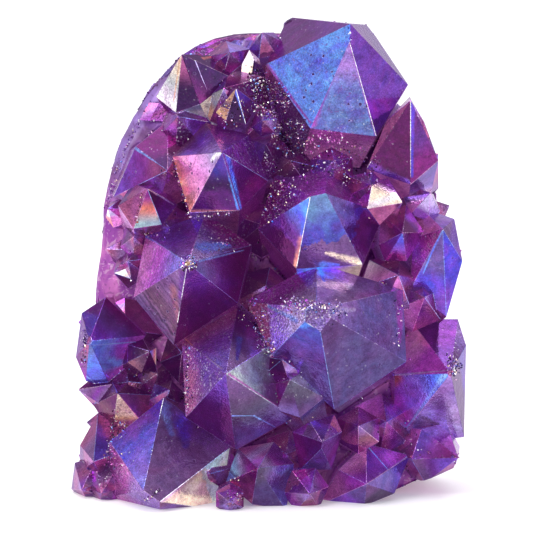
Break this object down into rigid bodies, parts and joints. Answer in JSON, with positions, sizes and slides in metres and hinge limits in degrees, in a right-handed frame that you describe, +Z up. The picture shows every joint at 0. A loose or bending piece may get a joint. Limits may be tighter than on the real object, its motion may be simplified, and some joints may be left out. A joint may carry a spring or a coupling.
{
  "type": "aura quartz crystal cluster",
  "caption": "Free-standing cluster of pointed quartz crystals with an iridescent violet metal film, grown together on a rounded wall of matrix and cut flat below to stand.",
  "frame": {"origin": "centre of the bounding box in X and Y, on the plane of the cut base", "axes": "+Z up from the cut base, the crystals' points towards -Y, the geode's rounded skin towards +Y, +X to the viewer's right"},
  "size_m": [0.0986, 0.0666, 0.1191],
  "materials": {
    "aura_quartz": "glossy, with an iridescent film"
  },
  "bodies": {
    "root": {"crystal_cluster": "aura_quartz"}
  },
  "joints": []
}
